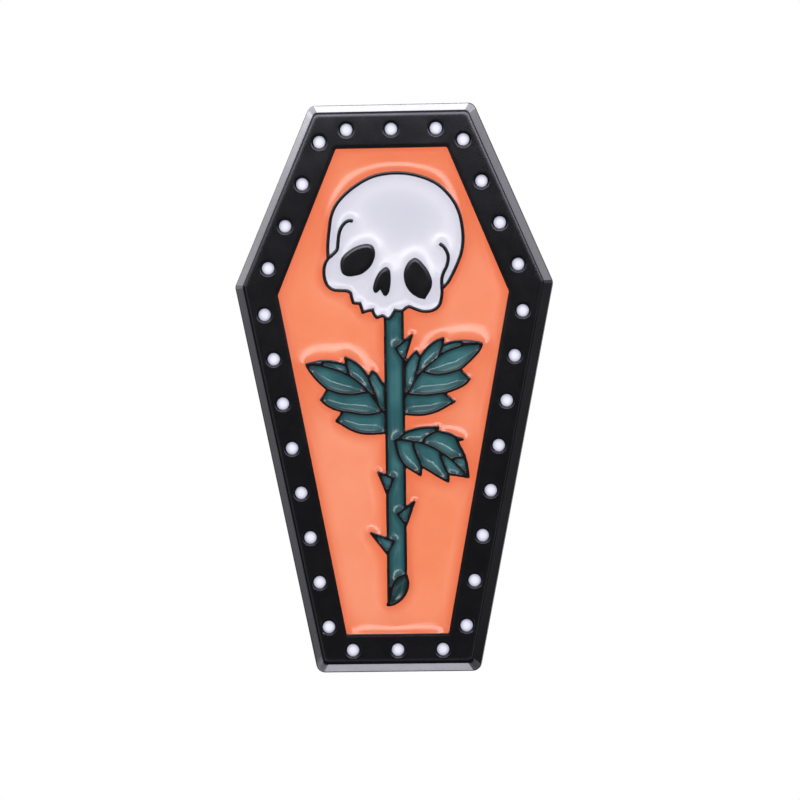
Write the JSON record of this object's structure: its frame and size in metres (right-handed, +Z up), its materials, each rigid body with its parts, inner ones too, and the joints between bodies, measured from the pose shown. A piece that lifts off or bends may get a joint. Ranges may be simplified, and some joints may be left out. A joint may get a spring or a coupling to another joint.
{
  "type": "enamel pin",
  "caption": "Coffin-shaped soft-enamel pin with a skull on a thorned stem, a studded border and butterfly clutches on two posts.",
  "frame": {"origin": "The middle of the badge's flat back face, where it meets the cloth.", "axes": "+Z runs up the coffin towards its head, -Y is the enamelled front, +Y points into the cloth and along the posts, +X is to the right seen from the front."},
  "size_m": [0.0212, 0.0096, 0.038],
  "materials": {
    "black_nickel": "black nickel plating on struck metal, polished",
    "orange_enamel": "coral orange soft enamel, glossy and slightly dished",
    "white_enamel": "cool white soft enamel, glossy",
    "green_enamel": "dark teal green soft enamel, glossy",
    "dark_green_enamel": "very dark green soft enamel, glossy",
    "post_plating": "black nickel plating on a turned steel post",
    "solder": "plated solder fillet",
    "spring_steel": "bright spring wire",
    "bright_nickel": "nickel-plated brass sheet"
  },
  "bodies": {
    "badge": {"struck_plate": "black_nickel", "field_enamel": "orange_enamel", "skull_enamel": "white_enamel", "stud_enamel": "white_enamel", "stem_enamel": "green_enamel", "stem_cut_enamel": "dark_green_enamel", "thorn_enamel": "green_enamel", "left_leaf_tip_enamel": "green_enamel", "left_leaf_fold_enamel": "green_enamel", "left_leaf_middle_enamel": "green_enamel", "left_leaf_base_enamel": "green_enamel", "left_leaf_upper_enamel": "green_enamel", "left_leaf_inner_enamel": "green_enamel", "right_leaf_tip_enamel": "green_enamel", "right_leaf_fold_enamel": "green_enamel", "right_leaf_middle_enamel": "green_enamel", "right_leaf_base_enamel": "green_enamel", "right_leaf_upper_enamel": "green_enamel", "right_leaf_inner_enamel": "green_enamel", "low_leaf_top_enamel": "green_enamel", "low_leaf_upper_enamel": "green_enamel", "low_leaf_side_enamel": "green_enamel", "low_leaf_tip_enamel": "green_enamel", "low_leaf_middle_enamel": "green_enamel", "low_leaf_inner_enamel": "green_enamel", "upper_post": "post_plating", "lower_post": "post_plating", "upper_post_solder": "solder", "lower_post_solder": "solder"},
    "upper_grip": {"upper_jaw_spring": "spring_steel"},
    "upper_clutch": {"upper_clutch_base": "bright_nickel", "upper_clutch_housing": "bright_nickel"},
    "upper_left_lever": {"upper_left_wing": "bright_nickel"},
    "upper_right_lever": {"upper_right_wing": "bright_nickel"},
    "lower_grip": {"lower_jaw_spring": "spring_steel"},
    "lower_clutch": {"lower_clutch_base": "bright_nickel", "lower_clutch_housing": "bright_nickel"},
    "lower_left_lever": {"lower_left_wing": "bright_nickel"},
    "lower_right_lever": {"lower_right_wing": "bright_nickel"}
  },
  "joints": [
    {"name": "upper_clutch_slide", "type": "slide", "parent": "badge", "child": "upper_grip", "axis": [0, 1, 0], "range_m": [-0.0015, 0.0075]},
    {"name": "upper_clutch_spin", "type": "hinge", "parent": "upper_grip", "child": "upper_clutch", "pos_m": [0, 0.0022, 0.01], "axis": [0, 1, 0], "continuous": true},
    {"name": "upper_left_squeeze", "type": "hinge", "parent": "upper_clutch", "child": "upper_left_lever", "pos_m": [-0.00265, 0.0055, 0.01], "axis": [0, 0, -1], "range_deg": [0, 12], "stiffness_Nm_per_rad": 0.003, "deforming": ["upper_jaw_spring"]},
    {"name": "upper_right_squeeze", "type": "hinge", "parent": "upper_clutch", "child": "upper_right_lever", "pos_m": [0.00265, 0.0055, 0.01], "axis": [0, 0, 1], "range_deg": [0, 12], "stiffness_Nm_per_rad": 0.003},
    {"name": "lower_clutch_slide", "type": "slide", "parent": "badge", "child": "lower_grip", "axis": [0, 1, 0], "range_m": [-0.0015, 0.0075]},
    {"name": "lower_clutch_spin", "type": "hinge", "parent": "lower_grip", "child": "lower_clutch", "pos_m": [0, 0.0022, -0.01], "axis": [0, 1, 0], "continuous": true},
    {"name": "lower_left_squeeze", "type": "hinge", "parent": "lower_clutch", "child": "lower_left_lever", "pos_m": [-0.00265, 0.0055, -0.01], "axis": [0, 0, -1], "range_deg": [0, 12], "stiffness_Nm_per_rad": 0.003, "deforming": ["lower_jaw_spring"]},
    {"name": "lower_right_squeeze", "type": "hinge", "parent": "lower_clutch", "child": "lower_right_lever", "pos_m": [0.00265, 0.0055, -0.01], "axis": [0, 0, 1], "range_deg": [0, 12], "stiffness_Nm_per_rad": 0.003}
  ],
  "couplings": [
    {"joint": "upper_right_squeeze", "follows": "upper_left_squeeze", "ratio": 1},
    {"joint": "lower_right_squeeze", "follows": "lower_left_squeeze", "ratio": 1}
  ]
}
